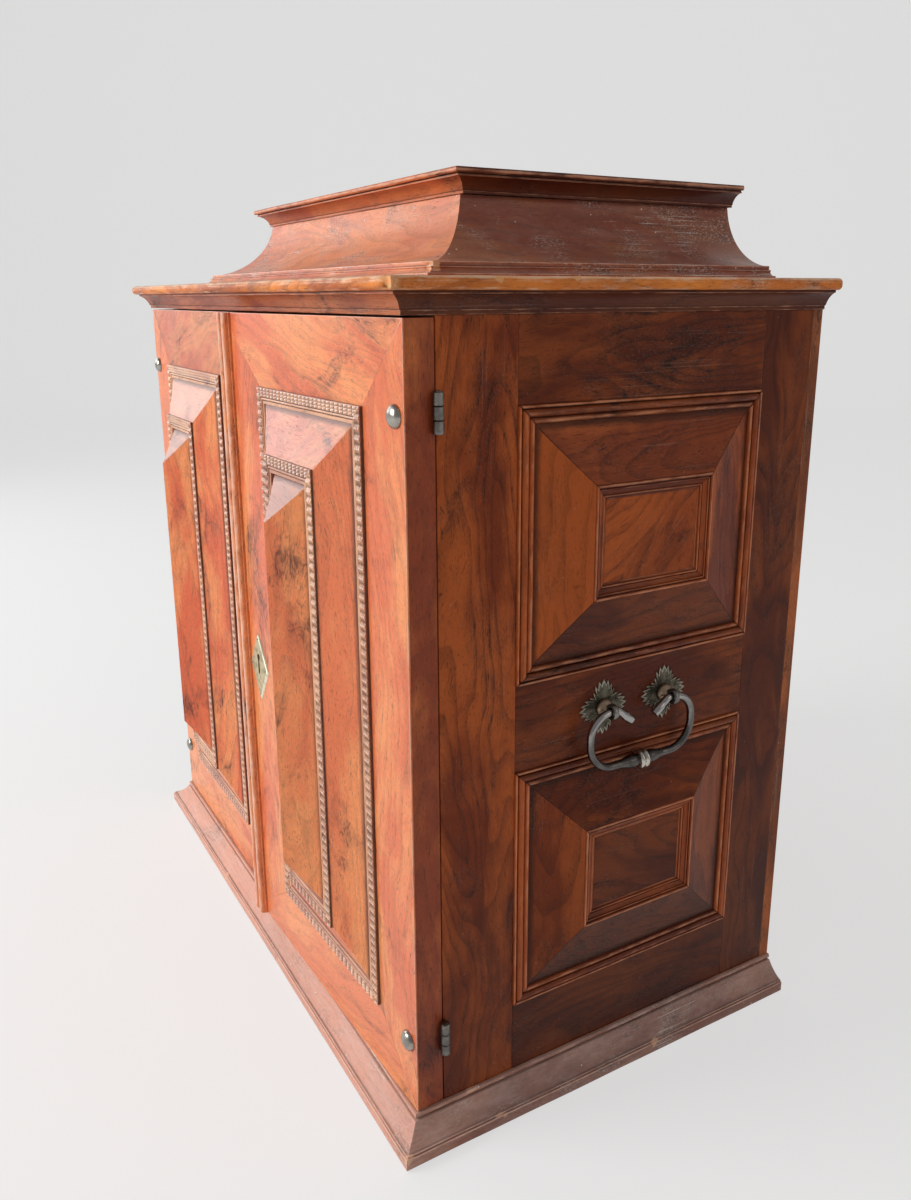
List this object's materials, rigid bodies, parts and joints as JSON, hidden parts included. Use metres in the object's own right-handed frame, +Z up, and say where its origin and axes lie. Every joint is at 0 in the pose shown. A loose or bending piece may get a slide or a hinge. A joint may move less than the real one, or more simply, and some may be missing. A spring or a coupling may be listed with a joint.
{
  "type": "cabinet of curiosities",
  "caption": "Walnut tabletop cabinet with two ripple-moulded doors over banks of small drawers, raised side panels with bail handles, moulded plinth and a lidded caddy top.",
  "frame": {"origin": "on the ground under the middle of the whole, plan middle of the overall box", "axes": "+X to the right seen from the doors, +Y to the back, +Z up"},
  "size_m": [0.632, 0.4062, 0.6859],
  "materials": {
    "walnut_case": "old wax-polished walnut, dark on the sides",
    "walnut_door": "figured orange-brown walnut veneer, wax polished",
    "walnut_moulding": "red-brown walnut moulding, rubbed at the arrises",
    "carcase_softwood": "plain unpolished carcase wood",
    "iron": "dark forged iron with a dull grey bloom",
    "pewter_steel": "rubbed bright iron",
    "bronze": "dark cast bronze",
    "brass": "pale old brass"
  },
  "bodies": {
    "case": {"base_frame": "carcase_softwood", "bolt_strike": "iron", "caddy_base_moulding": "walnut_moulding", "caddy_coves": "walnut_door", "caddy_well": "carcase_softwood", "case_back": "carcase_softwood", "case_bottom": "carcase_softwood", "case_hinge_leaves": "iron", "case_top": "walnut_case", "centre_partition": "carcase_softwood", "cornice_moulding": "walnut_moulding", "cornice_slab": "walnut_case", "drawer_dividers": "carcase_softwood", "handle_eyes": "pewter_steel", "handle_rosettes": "bronze", "hinge_pins": "iron", "inner_linings": "carcase_softwood", "plinth_moulding": "walnut_moulding", "side_centre_panels": "walnut_case", "side_frame_left": "walnut_case", "side_frame_right": "walnut_case", "side_inner_mouldings": "walnut_moulding", "side_outer_mouldings": "walnut_moulding", "side_panels": "walnut_case"},
    "right_door": {"right_door_frame": "walnut_door", "right_door_panel": "walnut_door", "right_door_outer_ripple": "walnut_moulding", "right_door_inner_ripple": "walnut_moulding", "right_door_field": "walnut_door", "right_door_hinge_leaves": "iron", "right_door_rivets": "pewter_steel", "astragal": "walnut_moulding", "escutcheon": "brass", "escutcheon_pins": "brass", "lock_case": "iron"},
    "left_door": {"left_door_frame": "walnut_door", "left_door_panel": "walnut_door", "left_door_outer_ripple": "walnut_moulding", "left_door_inner_ripple": "walnut_moulding", "left_door_field": "walnut_door", "left_door_hinge_leaves": "iron", "left_door_rivets": "pewter_steel", "lock_keeper": "iron", "bolt_guides": "iron"},
    "lid": {"lid_board": "walnut_case", "lid_moulding": "walnut_moulding", "lid_hinge_leaves": "iron"},
    "lock_bolt_body": {"lock_bolt": "iron"},
    "door_bolt_body": {"door_bolt": "iron"},
    "right_bail_body": {"right_bail": "pewter_steel"},
    "left_bail_body": {"left_bail": "pewter_steel"},
    "left_drawer_1_body": {"left_drawer_1": "walnut_door"},
    "left_drawer_2_body": {"left_drawer_2": "walnut_door"},
    "left_drawer_3_body": {"left_drawer_3": "walnut_door"},
    "left_drawer_4_body": {"left_drawer_4": "walnut_door"},
    "right_drawer_1_body": {"right_drawer_1": "walnut_door"},
    "right_drawer_2_body": {"right_drawer_2": "walnut_door"},
    "right_drawer_3_body": {"right_drawer_3": "walnut_door"},
    "right_drawer_4_body": {"right_drawer_4": "walnut_door"}
  },
  "joints": [
    {"name": "right_door_hinge", "type": "hinge", "parent": "case", "child": "right_door", "pos_m": [0.3006, -0.1388, 0.3086], "axis": [0, 0, 1], "range_deg": [-2.2, 177.8]},
    {"name": "left_door_hinge", "type": "hinge", "parent": "case", "child": "left_door", "pos_m": [-0.3006, -0.1388, 0.3086], "axis": [0, 0, -1], "range_deg": [0, 180]},
    {"name": "lid_hinge", "type": "hinge", "parent": "case", "child": "lid", "pos_m": [0, 0.2001, 0.6699], "axis": [-1, 0, 0], "range_deg": [0, 95]},
    {"name": "lock_bolt_slide", "type": "slide", "parent": "right_door", "child": "lock_bolt_body", "axis": [-0.9993, -0.0384, 0], "range_m": [0, 0.012]},
    {"name": "door_bolt_slide", "type": "slide", "parent": "left_door", "child": "door_bolt_body", "axis": [0, 0, 1], "range_m": [0, 0.012]},
    {"name": "right_bail_swing", "type": "hinge", "parent": "case", "child": "right_bail_body", "pos_m": [0.3086, 0.0259, 0.31075], "axis": [0, -1, 0], "range_deg": [0, 110]},
    {"name": "left_bail_swing", "type": "hinge", "parent": "case", "child": "left_bail_body", "pos_m": [-0.3086, 0.0259, 0.31075], "axis": [0, 1, 0], "range_deg": [0, 110]},
    {"name": "left_drawer_1_slide", "type": "slide", "parent": "case", "child": "left_drawer_1_body", "axis": [0, -1, 0], "range_m": [0, 0.23563]},
    {"name": "left_drawer_2_slide", "type": "slide", "parent": "case", "child": "left_drawer_2_body", "axis": [0, -1, 0], "range_m": [0, 0.23563]},
    {"name": "left_drawer_3_slide", "type": "slide", "parent": "case", "child": "left_drawer_3_body", "axis": [0, -1, 0], "range_m": [0, 0.23563]},
    {"name": "left_drawer_4_slide", "type": "slide", "parent": "case", "child": "left_drawer_4_body", "axis": [0, -1, 0], "range_m": [0, 0.23563]},
    {"name": "right_drawer_1_slide", "type": "slide", "parent": "case", "child": "right_drawer_1_body", "axis": [0, -1, 0], "range_m": [-0.00289, 0.23275]},
    {"name": "right_drawer_2_slide", "type": "slide", "parent": "case", "child": "right_drawer_2_body", "axis": [0, -1, 0], "range_m": [-0.00289, 0.23275]},
    {"name": "right_drawer_3_slide", "type": "slide", "parent": "case", "child": "right_drawer_3_body", "axis": [0, -1, 0], "range_m": [-0.00289, 0.23275]},
    {"name": "right_drawer_4_slide", "type": "slide", "parent": "case", "child": "right_drawer_4_body", "axis": [0, -1, 0], "range_m": [-0.00289, 0.23275]}
  ],
  "couplings": [
    {"joint": "left_drawer_1_slide", "follows": "left_door_hinge", "m_per_rad": 0.075},
    {"joint": "left_drawer_2_slide", "follows": "left_door_hinge", "m_per_rad": 0.075},
    {"joint": "left_drawer_3_slide", "follows": "left_door_hinge", "m_per_rad": 0.075},
    {"joint": "left_drawer_4_slide", "follows": "left_door_hinge", "m_per_rad": 0.075},
    {"joint": "right_drawer_1_slide", "follows": "right_door_hinge", "m_per_rad": 0.075},
    {"joint": "right_drawer_2_slide", "follows": "right_door_hinge", "m_per_rad": 0.075},
    {"joint": "right_drawer_3_slide", "follows": "right_door_hinge", "m_per_rad": 0.075},
    {"joint": "right_drawer_4_slide", "follows": "right_door_hinge", "m_per_rad": 0.075}
  ]
}
